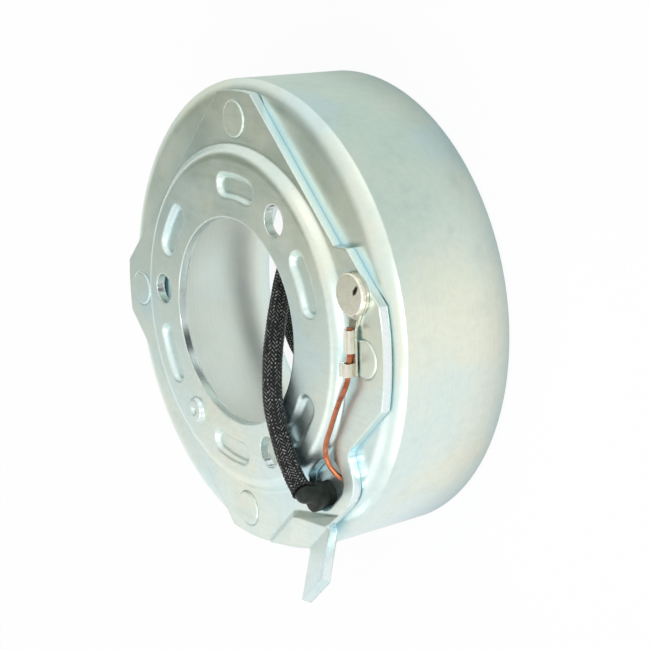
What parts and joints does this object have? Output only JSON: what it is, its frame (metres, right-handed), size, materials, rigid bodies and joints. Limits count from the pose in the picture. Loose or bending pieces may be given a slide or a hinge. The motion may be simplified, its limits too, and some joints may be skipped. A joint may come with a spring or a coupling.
{
  "type": "compressor clutch field coil",
  "caption": "Field coil of an air conditioning compressor clutch: steel shell with a cast-in winding, staked mounting plate, ground terminal and a braided lead through the bore.",
  "frame": {"origin": "on the coil's axis, at the level of the open pole face that the coil stands on", "axes": "+Z along the coil's axis, from the pole face towards the mounting plate; +X towards the wide plate corner that carries the ground terminal; the lead tongue and its tab point between +X and -Y"},
  "size_m": [0.101, 0.1023, 0.0382],
  "materials": {
    "shell_zinc": "satin zinc plating",
    "plate_zinc": "satin zinc plating",
    "bobbin_nylon": "moulded nylon",
    "winding_copper": "enamelled copper wire",
    "tape_film": "polyester tape",
    "casting_resin": "filled epoxy, matte",
    "grommet_rubber": "satin rubber",
    "terminal_tin": "tin plating",
    "rivet_nickel": "nickel plating",
    "wire_copper": "enamelled copper wire",
    "sleeve_braid": "varnished glass fibre braid",
    "shrink_tube": "shrunk tube",
    "wire_cover": "extruded wire cover",
    "seal_rubber": "silicone seal",
    "housing_plastic": "moulded nylon",
    "contact_brass": "tinned brass"
  },
  "bodies": {
    "root": {"field_shell": "shell_zinc", "mounting_plate": "plate_zinc", "coil_bobbin": "bobbin_nylon", "coil_winding": "winding_copper", "winding_tape": "tape_film", "potting_ring": "casting_resin", "lead_grommet": "grommet_rubber", "ground_terminal": "terminal_tin", "terminal_rivet": "rivet_nickel", "ground_wire": "wire_copper", "lead_sleeve": "sleeve_braid", "sleeve_shrink": "shrink_tube", "lead_wire": "wire_cover", "connector_boot": "seal_rubber", "connector_housing": "housing_plastic", "connector_contact": "contact_brass"}
  },
  "joints": []
}
